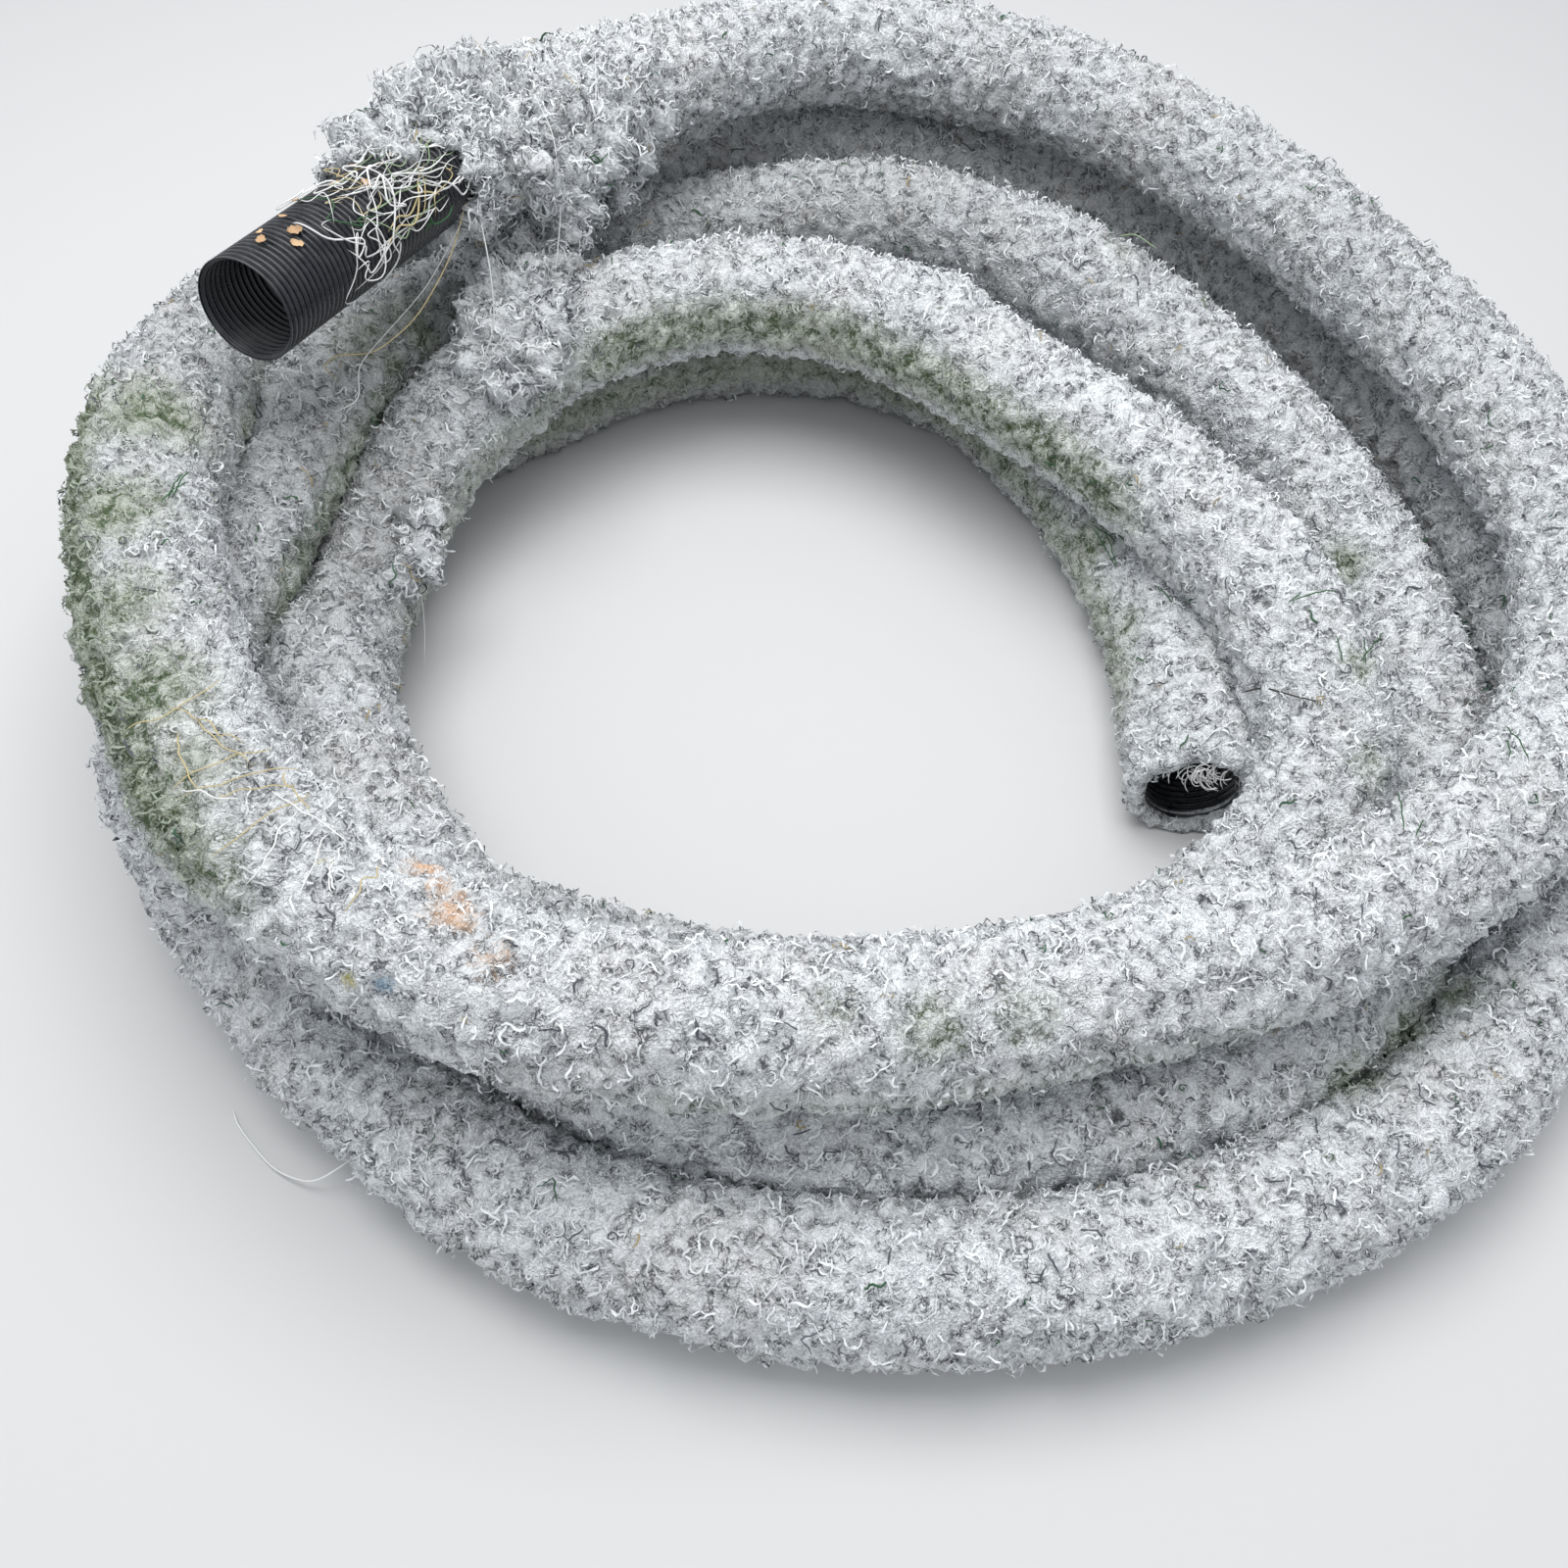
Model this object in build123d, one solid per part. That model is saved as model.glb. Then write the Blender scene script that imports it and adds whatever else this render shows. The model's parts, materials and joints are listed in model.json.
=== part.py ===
"""Corrugated PVC land drain pipe in a factory-fitted fibre envelope, lying in a loose coil.

Millimetres, +Z up. The origin is at the middle of the coil's footprint, on the ground.
The pipe is one length. Seen from above it runs clockwise, from the bare end that lies on
top of the coil, through four and a bit turns, to the mouth that lies on the ground inside.
"""
from build123d import *
from math import cos, radians, sin, tan
import os

os.makedirs("parts", exist_ok=True)

# Pipe: a single corrugated wall of even thickness
PIPE_OUTER_DIAMETER = 125.0
RIB_PITCH = 9.0
RIB_DEPTH = 4.5
RIB_CREST_WIDTH = 3.6
RIB_VALLEY_WIDTH = 2.8
WALL_THICKNESS = 1.0

# Envelope of crimped fibre, bound round the pipe
ENVELOPE_THICKNESS = 11.0
SEAT_CLEARANCE = 0.3

# Lengths along the pipe
BARE_RIBS = 41
MOUTH_RIBS = 8
HIDDEN_PIPE_LENGTH = 60.0

# Coil: where the pipe's axis passes at each station round the coil's middle, as the distance
# from the middle and the height. These are in diameters of the covered pipe, so that turns
# that touch still touch at another thickness. The first station is at the back, the next ones
# follow clockwise, and each line is a quarter of a turn.
FIRST_STATION_ANGLE = 90.0
STATION_STEP = 22.5
BEND_SHARE = 0.45
BARE_TIP = (-4.69, 0.58, 3.40)
FIRST_CORNER = (-3.08, 4.54, 2.88)
MOUTH_TIP = (3.01, -1.55, 0.50)
STATIONS = [
    # from the bare end: top layer, outside at the back and inside in front
    (6.84, 2.45), (6.60, 2.28), (6.12, 2.11), (6.05, 1.90),
    (6.16, 1.77), (5.77, 1.73), (4.97, 1.70), (4.44, 1.65),
    (4.54, 1.78), (5.05, 2.16), (5.35, 2.39), (5.26, 2.60),
    (5.48, 2.51), (6.06, 1.84), (6.28, 1.54), (6.56, 1.33),
    # down behind the first turn, outermost on the ground in front, then up at the left
    (6.94, 1.12), (6.94, 1.02), (6.73, 0.87), (6.43, 0.66),
    (6.28, 0.52), (6.31, 0.50), (6.27, 0.50), (5.95, 0.50),
    (5.78, 0.50), (5.65, 0.50), (5.48, 0.61), (5.59, 1.55),
    (4.89, 1.53), (5.00, 1.62), (5.38, 1.12), (5.37, 1.07),
    # raised at the back, on the ground in front, and over the next turn at the left
    (5.34, 1.39), (5.05, 1.41), (4.80, 1.14), (4.91, 0.78),
    (5.07, 0.56), (5.23, 0.50), (5.24, 0.50), (4.86, 0.50),
    (4.74, 0.61), (4.74, 1.10), (4.56, 1.69), (4.34, 1.38),
    (4.25, 0.65), (4.08, 1.17), (3.96, 1.47), (3.84, 1.55),
    # innermost and raised at the back, then on the ground beneath the others
    (3.46, 1.56), (2.94, 1.56), (2.73, 1.56), (2.93, 1.56),
    (3.56, 1.41), (4.37, 1.05), (4.17, 0.60), (3.82, 0.50),
    (3.74, 0.50), (3.82, 0.50), (4.33, 0.50), (4.99, 0.50),
    (5.48, 0.50), (4.91, 0.50), (4.41, 0.50), (4.46, 0.50),
    # on the ground to the mouth
    (4.29, 0.50), (3.81, 0.50), (3.20, 0.50), (2.94, 0.50),
    (2.99, 0.50),
]

pipe_radius = PIPE_OUTER_DIAMETER / 2
bore_radius = pipe_radius - RIB_DEPTH - WALL_THICKNESS
envelope_radius = pipe_radius + ENVELOPE_THICKNESS
rib_root_radius = pipe_radius - RIB_DEPTH
bare_length = BARE_RIBS * RIB_PITCH
mouth_length = MOUTH_RIBS * RIB_PITCH


def coil_corners():
    """Corners of the route, round which the pipe bends."""
    corners = [Vector(*BARE_TIP), Vector(*FIRST_CORNER)]
    for number, (radius, height) in enumerate(STATIONS):
        angle = radians(FIRST_STATION_ANGLE - number * STATION_STEP)
        reach = radius / cos(radians(STATION_STEP / 2))
        corners.append(Vector(reach * cos(angle), reach * sin(angle), height))
    corners.append(Vector(*MOUTH_TIP))
    return [corner * 2 * envelope_radius for corner in corners]


def coil_route():
    """Axis of the whole pipe: straight runs joined by tangent arcs, with both ends straight."""
    corners = coil_corners()
    runs = [end - start for start, end in zip(corners, corners[1:])]
    rooms = [BEND_SHARE * run.length for run in runs]
    rooms[0] = runs[0].length - bare_length - HIDDEN_PIPE_LENGTH
    bends = [
        min(room_in, room_out) / tan(radians(run_in.get_angle(run_out) / 2))
        for run_in, run_out, room_in, room_out in zip(runs, runs[1:], rooms, rooms[1:])
    ]
    return FilletPolyline(*corners, radius=bends), bends


def swept_wall(route, radius):
    """Round wall along the route: a cylinder on each straight run, part of a torus on each arc."""
    faces = []
    for run in route.edges():
        ring = Edge.make_circle(radius, Plane(origin=run @ 0, z_dir=run % 0))
        if run.geom_type == GeomType.LINE:
            faces.append(Face.extrude(ring, run @ 1 - run @ 0))
        else:
            start, end = run @ 0 - run.arc_center, run @ 1 - run.arc_center
            faces.append(Face.revolve(ring, start.get_angle(end), Axis(run.arc_center, start.cross(end))))
    return faces


def rod_along(route, radius):
    caps = [
        Face(Wire(Edge.make_circle(radius, Plane(origin=route @ end, z_dir=route % end))))
        for end in (0, 1)
    ]
    return Solid(Shell(swept_wall(route, radius) + caps))


def rib_outline(ribs, crest, valley):
    """Points (radius, distance along the axis) of one side of the corrugated wall."""
    flank = (RIB_PITCH - RIB_CREST_WIDTH - RIB_VALLEY_WIDTH) / 2
    points = []
    for number in range(ribs):
        start = number * RIB_PITCH
        points += [
            (crest, start),
            (crest, start + RIB_CREST_WIDTH),
            (valley, start + RIB_CREST_WIDTH + flank),
            (valley, start + RIB_CREST_WIDTH + flank + RIB_VALLEY_WIDTH),
        ]
    return points


def pipe_length(outside_ribs, inside_ribs, covered_radius, length):
    """A stretch of pipe from a cut end at the origin, along +Z, ribbed where it can be seen."""
    outside = rib_outline(outside_ribs, pipe_radius, rib_root_radius)
    inside = rib_outline(inside_ribs, pipe_radius - WALL_THICKNESS, bore_radius)
    outline = outside + [(covered_radius, outside_ribs * RIB_PITCH), (covered_radius, length)]
    outline += [(bore_radius, length), *reversed(inside)]
    profile = make_face(Polyline(*[Vector(radius, 0, along) for radius, along in outline], close=True))
    return revolve(profile, Axis.Z)


def bored(solid, end, radius, depth):
    """The solid with a round hole of this depth cut in at one end of the route."""
    return solid - end * Cylinder(radius, depth, align=(Align.CENTER, Align.CENTER, Align.MIN))


def build():
    route, bends = coil_route()
    bare_end = Location(Plane(origin=route @ 0, z_dir=route % 0))
    mouth = Location(Plane(origin=route @ 1, z_dir=-(route % 1)))
    seated_length = bare_length + HIDDEN_PIPE_LENGTH
    bare_pipe = bare_end * pipe_length(BARE_RIBS, MOUTH_RIBS, rib_root_radius, seated_length)
    mouth_pipe = mouth * pipe_length(0, MOUTH_RIBS, pipe_radius, mouth_length)

    envelope = rod_along(route, envelope_radius)
    envelope = bored(envelope, bare_end, envelope_radius + SEAT_CLEARANCE, bare_length)
    envelope = bored(envelope, bare_end, rib_root_radius + SEAT_CLEARANCE, seated_length + SEAT_CLEARANCE)
    envelope = bored(envelope, mouth, pipe_radius + SEAT_CLEARANCE, mouth_length + SEAT_CLEARANCE)

    extent = Compound([bare_pipe, mouth_pipe, envelope]).bounding_box()
    to_origin = Pos(-extent.center().X, -extent.center().Y, -extent.min.Z)
    print("pipe length", round(route.length), "smallest bend", round(min(bends)), "shift", to_origin.position)
    return to_origin * Compound([bare_pipe, mouth_pipe]), to_origin * envelope


drain_pipe, fibre_envelope = build()
export_step(drain_pipe, "parts/drain_pipe.step")
export_step(fibre_envelope, "parts/fibre_envelope.step")
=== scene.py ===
"""A coil of corrugated drain pipe in its fibre envelope, laid on a pale studio floor."""
import json
import math

import bpy
import numpy as np
from mathutils import Matrix

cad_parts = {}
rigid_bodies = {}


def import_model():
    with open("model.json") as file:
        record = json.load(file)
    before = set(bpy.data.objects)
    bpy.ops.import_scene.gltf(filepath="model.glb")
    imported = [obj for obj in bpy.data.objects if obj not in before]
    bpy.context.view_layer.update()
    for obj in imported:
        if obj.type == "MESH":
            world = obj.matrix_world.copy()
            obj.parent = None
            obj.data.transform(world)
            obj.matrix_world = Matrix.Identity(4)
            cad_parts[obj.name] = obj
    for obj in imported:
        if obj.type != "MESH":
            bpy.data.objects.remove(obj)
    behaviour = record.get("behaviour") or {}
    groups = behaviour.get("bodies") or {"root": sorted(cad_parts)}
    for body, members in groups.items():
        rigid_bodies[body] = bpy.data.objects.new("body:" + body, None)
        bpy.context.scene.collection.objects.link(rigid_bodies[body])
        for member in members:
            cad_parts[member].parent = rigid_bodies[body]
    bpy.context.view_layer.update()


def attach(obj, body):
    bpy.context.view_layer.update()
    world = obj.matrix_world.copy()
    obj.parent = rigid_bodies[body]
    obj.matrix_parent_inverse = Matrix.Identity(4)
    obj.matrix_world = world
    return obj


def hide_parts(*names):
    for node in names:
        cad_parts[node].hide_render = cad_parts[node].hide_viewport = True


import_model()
scene = bpy.context.scene
scene.view_settings.view_transform = "Standard"


# View. The camera stands 1.6 m above the floor at the near side of the coil and looks
# steeply down at it.

VIEW_PLACE = (-0.1082, -1.4820, 1.6010)
VIEW_DOWN = 52.72
VIEW_ROLL = 2.0
VIEW_LENS = 36

view = bpy.data.objects.new("view", bpy.data.cameras.new("view"))
view.data.sensor_width = view.data.lens = VIEW_LENS
view.matrix_world = (
    Matrix.Translation(VIEW_PLACE)
    @ Matrix.Rotation(math.radians(90 - VIEW_DOWN), 4, "X")
    @ Matrix.Rotation(math.radians(VIEW_ROLL), 4, "Z")
)
scene.collection.objects.link(view)
scene.camera = view


# Studio. A wide pale floor, an even sky and one broad lamp overhead, which together give
# flat daylight.

FLOOR_REACH = 9.0
FLOOR_GREY = (0.66, 0.66, 0.66, 1)
SKY_COLOUR = (0.93, 0.96, 1.0, 1)
SKY_STRENGTH = 0.68
LAMP_SIZE = 3.0
LAMP_ENERGY = 116
LAMP_PLACE = (-0.4, 0.3, 3.6)
LAMP_TURN = (-5, -6, 0)


class Value:
    """A node's output that takes part in sums, for shader trees and shape trees alike."""

    def __init__(self, tree, socket):
        self.tree, self.socket = tree, socket

    def sum(self, operation, *terms):
        return self.tree.add("ShaderNodeMath", dict(enumerate(terms)), operation=operation)

    def __add__(self, other):
        return self.sum("ADD", self, other)

    def __sub__(self, other):
        return self.sum("SUBTRACT", self, other)

    def __rsub__(self, other):
        return self.sum("SUBTRACT", other, self)

    def __mul__(self, other):
        return self.sum("MULTIPLY", self, other)

    def __abs__(self):
        return self.sum("ABSOLUTE", self)

    __radd__ = __add__

    def ramp(self, low, high, start=0.0, end=1.0):
        """The value taken from low..high to start..end, smoothly and never past them."""
        inputs = {0: self, 1: low, 2: high, 3: start, 4: end}
        return self.tree.add("ShaderNodeMapRange", inputs, interpolation_type="SMOOTHSTEP")


class Tree:
    """A node tree that is written one node at a time."""

    def __init__(self, tree):
        self.tree = tree

    def add(self, kind, inputs=None, output=0, **settings):
        node = self.tree.nodes.new(kind)
        for name, setting in settings.items():
            setattr(node, name, setting)
        for key, value in (inputs or {}).items():
            self.put(node.inputs[key], value)
        return Value(self, node.outputs[output])

    def put(self, socket, value):
        if isinstance(value, Value):
            self.tree.links.new(value.socket, socket)
        else:
            socket.default_value = value

    def blend(self, mask, first, second):
        """A colour between two, where mask goes from 0 to 1."""
        inputs = {0: mask, 6: first, 7: second}
        return self.add("ShaderNodeMix", inputs, output=2, data_type="RGBA")

    def vector(self, operation, *terms):
        return self.add("ShaderNodeVectorMath", dict(enumerate(terms)), operation=operation)


def finish_of(name, **constants):
    """A new material: its tree, its main shader's node and the material itself."""
    material = bpy.data.materials.new(name)
    material.use_nodes = True
    shader = material.node_tree.nodes["Principled BSDF"]
    for socket, value in constants.items():
        shader.inputs[socket.replace("_", " ")].default_value = value
    return Tree(material.node_tree), shader, material


def smooth_object(name, points, faces):
    """A new object with smooth faces, in no collection yet."""
    mesh = bpy.data.meshes.new(name)
    mesh.from_pydata(points.tolist(), [], faces.tolist() if hasattr(faces, "tolist") else faces)
    mesh.polygons.foreach_set("use_smooth", np.ones(len(mesh.polygons), bool))
    return bpy.data.objects.new(name, mesh)


def mesh_piece(name, points, faces, material):
    piece = smooth_object(name, points, faces)
    scene.collection.objects.link(piece)
    piece.data.materials.append(material)
    return piece


floor_paint = finish_of("floor_paint", Base_Color=FLOOR_GREY, Roughness=0.9)[2]
floor_corners = np.array([(-1, -1, 0), (1, -1, 0), (1, 1, 0), (-1, 1, 0)]) * FLOOR_REACH
floor = mesh_piece("floor", floor_corners, [(0, 1, 2, 3)], floor_paint)

scene.world = bpy.data.worlds.new("sky")
scene.world.use_nodes = True
background = scene.world.node_tree.nodes["Background"]
background.inputs["Color"].default_value = SKY_COLOUR
background.inputs["Strength"].default_value = SKY_STRENGTH

lamp = bpy.data.objects.new("overhead_lamp", bpy.data.lights.new("overhead_lamp", "AREA"))
lamp.data.size = LAMP_SIZE
lamp.data.energy = LAMP_ENERGY
lamp.location = LAMP_PLACE
lamp.rotation_euler = [math.radians(turn) for turn in LAMP_TURN]
scene.collection.objects.link(lamp)


# Route of the pipe. The whole coil is one length of pipe, wound clockwise from the bare end
# on top to the mouth on the floor, and the pipe and its envelope both follow this line. Each
# station is the line's distance from the coil's middle and its height, in covered diameters.

LAID_ORIGIN = (-48.19, -82.0, 0.0)
COVERED_DIAMETER = 147
FIRST_STATION_ANGLE = 90
STATION_STEP = 22.5
BEND_SHARE = 0.45
BEND_POINTS = 24
STRAIGHT_START = 429
BARE_TIP = (-4.69, 0.58, 3.40)
FIRST_CORNER = (-3.08, 4.54, 2.88)
MOUTH_TIP = (3.01, -1.55, 0.50)
STATIONS = [
    # from the bare end: top layer, outside at the back and inside in front
    (6.84, 2.45), (6.60, 2.28), (6.12, 2.11), (6.05, 1.90),
    (6.16, 1.77), (5.77, 1.73), (4.97, 1.70), (4.44, 1.65),
    (4.54, 1.78), (5.05, 2.16), (5.35, 2.39), (5.26, 2.60),
    (5.48, 2.51), (6.06, 1.84), (6.28, 1.54), (6.56, 1.33),
    # down behind the first turn, outermost on the floor in front, then up at the left
    (6.94, 1.12), (6.94, 1.02), (6.73, 0.87), (6.43, 0.66),
    (6.28, 0.52), (6.31, 0.50), (6.27, 0.50), (5.95, 0.50),
    (5.78, 0.50), (5.65, 0.50), (5.48, 0.61), (5.59, 1.55),
    (4.89, 1.53), (5.00, 1.62), (5.38, 1.12), (5.37, 1.07),
    # raised at the back, on the floor in front, and over the next turn at the left
    (5.34, 1.39), (5.05, 1.41), (4.80, 1.14), (4.91, 0.78),
    (5.07, 0.56), (5.23, 0.50), (5.24, 0.50), (4.86, 0.50),
    (4.74, 0.61), (4.74, 1.10), (4.56, 1.69), (4.34, 1.38),
    (4.25, 0.65), (4.08, 1.17), (3.96, 1.47), (3.84, 1.55),
    # innermost and raised at the back, then on the floor beneath the others
    (3.46, 1.56), (2.94, 1.56), (2.73, 1.56), (2.93, 1.56),
    (3.56, 1.41), (4.37, 1.05), (4.17, 0.60), (3.82, 0.50),
    (3.74, 0.50), (3.82, 0.50), (4.33, 0.50), (4.99, 0.50),
    (5.48, 0.50), (4.91, 0.50), (4.41, 0.50), (4.46, 0.50),
    # on the floor to the mouth
    (4.29, 0.50), (3.81, 0.50), (3.20, 0.50), (2.94, 0.50),
    (2.99, 0.50),
]
LINE_STEP = 0.002
EASED_FROM = 0.48
EASED_UNTIL = 0.18
EASING = np.exp(-np.linspace(-2.5, 2.5, 41) ** 2)


def unit(vectors):
    return vectors / np.linalg.norm(vectors, axis=-1, keepdims=True)


def distances_along(points):
    """How far along their way each of these points comes."""
    return np.r_[0, np.cumsum(np.linalg.norm(np.diff(points, axis=0), axis=1))]


def read_off(at, places, rows):
    """Rows of values that are known at some places, read off at others in between."""
    return np.stack([np.interp(at, places, column) for column in rows.T], axis=1)


def sideways_and_up(headings, upward=(0, 0, 1)):
    side = unit(np.cross(headings, upward))
    return side, np.cross(side, headings)


def rings(side, up, sides, width=1.0, depth=1.0):
    """Points of one ring for each pair of directions, as seen from its middle."""
    turns = np.linspace(0, 2 * math.pi, sides, endpoint=False)[None, :, None]
    return side[:, None] * np.cos(turns) * width + up[:, None] * np.sin(turns) * depth


def route_corners():
    """Corners of the route in millimetres, round which the pipe bends."""
    stations = np.array(STATIONS)
    angles = np.radians(FIRST_STATION_ANGLE - STATION_STEP * np.arange(len(stations)))
    reach = stations[:, 0] / math.cos(math.radians(STATION_STEP / 2))
    ring = np.c_[reach * np.cos(angles), reach * np.sin(angles), stations[:, 1]]
    return np.vstack([BARE_TIP, FIRST_CORNER, ring, MOUTH_TIP]) * COVERED_DIAMETER + LAID_ORIGIN


def pipe_line():
    """Evenly spaced points of the pipe's axis, in metres, and their distances along it."""
    corners = route_corners()
    runs = np.diff(corners, axis=0)
    lengths = np.linalg.norm(runs, axis=1)
    headings = unit(runs)
    rooms = BEND_SHARE * lengths
    rooms[0] = lengths[0] - STRAIGHT_START
    share = np.linspace(0, 1, BEND_POINTS)[:, None]
    line = [corners[:1]]
    for number in range(1, len(corners) - 1):
        before, after = headings[number - 1], headings[number]
        turn = math.acos(before @ after)
        room = min(rooms[number - 1], rooms[number])
        radius = room / math.tan(turn / 2)
        centre = corners[number] + unit(after - before) * radius / math.cos(turn / 2)
        start = corners[number] - before * room - centre
        end = corners[number] + after * room - centre
        bend = np.sin((1 - share) * turn) * start + np.sin(share * turn) * end
        line.append(centre + bend / math.sin(turn))
    line = np.vstack(line + [corners[-1:]]) / 1000
    along = distances_along(line)
    even = np.linspace(0, along[-1], int(along[-1] / LINE_STEP) + 1)
    return read_off(even, along, line), even


line, line_along = pipe_line()
eased = slice(round(EASED_FROM / LINE_STEP), -round(EASED_UNTIL / LINE_STEP))
for axis in range(3):
    line[eased, axis] = np.convolve(line[:, axis], EASING / EASING.sum(), "same")[eased]
line_heading = unit(np.gradient(line, axis=0))


def frames_along(along):
    """Middle, sideways direction and upward direction of the pipe at these distances along it."""
    centres = read_off(along, line_along, line)
    headings = unit(read_off(along, line_along, line_heading))
    centres = centres + headings * (along - np.clip(along, 0, line_along[-1]))[:, None]
    return centres, *sideways_and_up(headings)


def rings_along(along, radii, sides):
    """Points of rings square to the pipe's line, and the directions in which they lie."""
    centres, side, up = frames_along(along)
    outward = rings(side, up, sides)
    return centres[:, None] + outward * radii[:, None, None], outward


def ring_faces(count, sides):
    """Faces between rings of points that follow each other, facing away from their middle."""
    first = np.arange(count - 1)[:, None] * sides
    here = np.arange(sides)[None]
    following = (here + 1) % sides
    corners = [first + here, first + sides + here, first + sides + following, first + following]
    return np.stack(corners, axis=-1).reshape(-1, 4)


# Fibre envelope. Recycled synthetic fibre, crimped and curly, laid round the pipe as a loose
# felt some 10 mm thick and bound with fine yarn. It is grey-white, weathered and matted, with
# green growth where it has lain in the wet, and strands of many colours caught in it.

ENVELOPE_RADIUS = 0.0745
ENVELOPE_SIDES = 60
ENVELOPE_STEP = 0.0073
ENVELOPE_START = 0.385
ENVELOPE_PARTS = 3
START_LIP = ([0.034, 0.020, 0.008, 0.000], [0.0655, 0.0655, 0.0665, 0.0710])
MOUTH_LIP = (
    [0.003, 0.006, 0.006, 0.002, -0.006, -0.016],
    [0.0735, 0.0700, 0.0655, 0.0615, 0.0598, 0.0600],
)
MOUTH_FLARE = 0.003
MOUTH_FLARE_REACH = 0.25
FLARED_OVER = 0.070
SWOLLEN_OVER = 0.073
MOST_SWELL = 0.024
COLLAR_LOFT = 1.3
COLLAR_REACH = 0.26
MOUTH_LOFT = (-0.3, -0.5, -0.6, -0.6, -0.7, -0.8)
FLOOR_GAP = 0.0006
FELT_RELIEF = {"Swell": 0.010, "Lumps": 0.018, "Tufts": 0.011, "Tuft_Size": 56.0}

SPOT_FALL = 1.6
FULL_SPOTS = [
    # middle of each spot where the felt is fuller, its reach and how far it swells
    (0.077, 0.382, 0.302, 0.08, 0.012), (0.233, 0.522, 0.176, 0.09, 0.018),
    (0.365, 0.410, 0.195, 0.09, 0.018), (0.489, 0.300, 0.200, 0.08, 0.015),
    (0.550, 0.251, 0.200, 0.06, 0.010), (-0.146, 0.897, 0.247, 0.08, 0.016),
    (-0.050, 0.942, 0.245, 0.09, 0.020), (0.060, 0.930, 0.240, 0.09, 0.020),
    (0.157, 0.900, 0.250, 0.08, 0.014), (-0.797, 0.014, 0.344, 0.07, 0.016),
    (-0.802, 0.084, 0.318, 0.07, 0.016), (-0.785, -0.078, 0.347, 0.07, 0.014),
    (-0.756, -0.229, 0.136, 0.08, 0.016), (0.450, -0.120, 0.090, 0.07, 0.020),
    (0.465, -0.200, 0.080, 0.07, 0.022), (0.470, -0.290, 0.080, 0.06, 0.020),
    (0.430, 0.000, 0.100, 0.07, 0.016),
]
WEATHERING = [
    # distance along the pipe, and how much of its paleness the felt there has kept
    (0.0, 0.90), (0.7, 0.96), (1.3, 0.88), (2.1, 0.78), (2.7, 0.94), (3.4, 1.0), (4.0, 1.0),
    (4.5, 0.88), (5.0, 0.72), (5.5, 0.60), (6.4, 0.64), (7.3, 0.74), (8.0, 0.90), (8.8, 1.0),
    (9.8, 1.0), (10.4, 0.92), (10.9, 0.60), (11.4, 0.62), (12.2, 0.64), (12.8, 1.0), (14.0, 1.0),
    (14.7, 0.98), (15.0, 0.80), (15.4, 0.48), (16.2, 0.95), (16.9, 1.0), (17.6, 1.0),
    (18.4, 0.70), (19.2, 0.45), (20.4, 0.50), (20.8, 0.85), (21.4, 0.98),
]
COIL_MIDDLE = (-0.05, -0.08, 0.0)
FLANK_FADE = 0.15
FLANK_SPREAD = 0.40
GREEN_FLANKS = [
    # from and to along the pipe, how far it faces the coil's middle and upwards, its strength
    (4.35, 5.25, -0.75, 0.50, 1.15), (15.3, 16.1, 0.80, -0.10, 0.65),
    (15.9, 17.1, 0.85, 0.05, 1.00), (19.6, 21.32, 0.80, 0.10, 0.80),
    (11.0, 11.45, 0.40, 0.80, 0.60), (3.3, 4.2, -0.75, -0.20, 0.55),
    (9.0, 10.2, -0.85, -0.25, 0.30), (5.0, 5.6, 0.80, -0.20, 0.70),
    (10.6, 11.3, 0.85, -0.10, 0.80),
]
GREEN_SPOTS = [
    # middle of each spot, its reach and its strength
    (-0.837, -0.104, 0.439, 0.10, 1.0), (-0.826, -0.278, 0.445, 0.09, 1.0),
    (-0.785, -0.415, 0.440, 0.09, 0.9), (-0.725, -0.515, 0.435, 0.09, 1.0),
    (-0.669, -0.600, 0.425, 0.08, 0.8), (-0.627, -0.676, 0.410, 0.07, 0.6),
    (-0.629, 0.304, 0.249, 0.06, 0.9), (-0.654, 0.228, 0.258, 0.05, 0.8),
    (-0.590, 0.382, 0.226, 0.06, 0.7), (0.620, 0.020, 0.140, 0.06, 0.9),
    (0.555, -0.248, 0.244, 0.05, 0.7), (0.558, -0.367, 0.212, 0.05, 0.7),
    (0.504, -0.716, 0.099, 0.07, 0.8), (0.572, -0.651, 0.092, 0.07, 0.9),
    (0.627, -0.612, 0.113, 0.06, 0.8), (-0.056, -0.779, 0.341, 0.05, 0.5),
    (0.035, -0.784, 0.320, 0.06, 0.7), (0.128, -0.764, 0.310, 0.06, 0.6),
    (0.292, 0.070, 0.112, 0.07, 0.9), (0.330, -0.075, 0.114, 0.06, 0.7),
    (0.357, 0.537, 0.263, 0.05, 0.5),
]
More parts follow.
